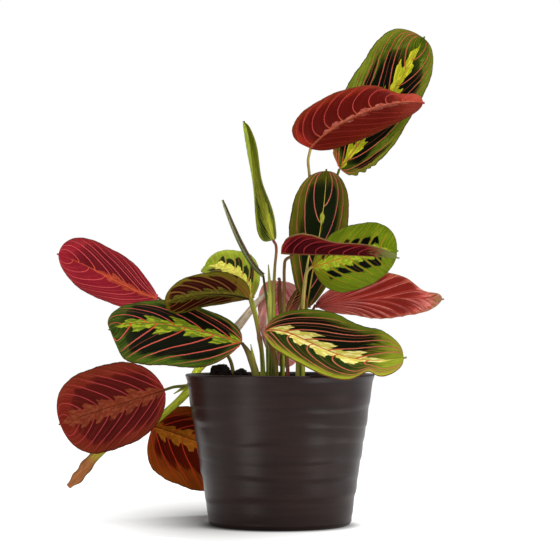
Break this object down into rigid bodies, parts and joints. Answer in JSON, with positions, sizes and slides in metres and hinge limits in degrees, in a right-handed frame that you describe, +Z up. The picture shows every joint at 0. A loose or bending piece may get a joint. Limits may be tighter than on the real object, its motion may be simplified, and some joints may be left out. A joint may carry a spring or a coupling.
{
  "type": "potted foliage plant",
  "caption": "Potted prayer plant with broad folding leaves, pink veins and red undersides, in a dark tapered pot with wavy ridges.",
  "frame": {"origin": "centre of the pot's flat foot, where it stands on the surface", "axes": "+Z up along the pot's axis, -Y towards the plant's front, +X to the right seen from the front"},
  "size_m": [0.3076, 0.1714, 0.3875],
  "materials": {
    "pot": "satin",
    "soil": "matte",
    "leaf_green": "satin",
    "leaf_lime": "satin",
    "leaf_red": "satin",
    "leaf_maroon": "satin",
    "leaf_salmon": "satin",
    "stalk_green": "satin",
    "stalk_brown": "satin"
  },
  "bodies": {
    "root": {"pot": "pot", "soil": "soil", "leaf_top_right": "leaf_green", "leaf_upper_underside": "leaf_red", "leaf_tall_dark": "leaf_green", "leaf_folded_maroon": "leaf_maroon", "leaf_blotched_right": "leaf_lime", "leaf_front_right": "leaf_green", "leaf_far_left": "leaf_red", "leaf_front_left": "leaf_green", "leaf_left_dark": "leaf_maroon", "leaf_lime_small": "leaf_lime", "leaf_rolled_tall": "leaf_lime", "leaf_rolled_thin": "stalk_green", "leaf_pink_back": "leaf_salmon", "leaf_right_salmon": "leaf_salmon", "leaf_low_left": "leaf_maroon", "leaf_behind_pot": "leaf_red", "leaf_young_folded": "leaf_green", "stem_far_left": "stalk_brown", "stem_front_left": "stalk_green", "stem_left_pair": "stalk_brown", "stem_folded": "stalk_brown", "shoot_trailing": "stalk_green", "shoot_centre": "stalk_green", "shoot_right": "stalk_green"}
  },
  "joints": []
}
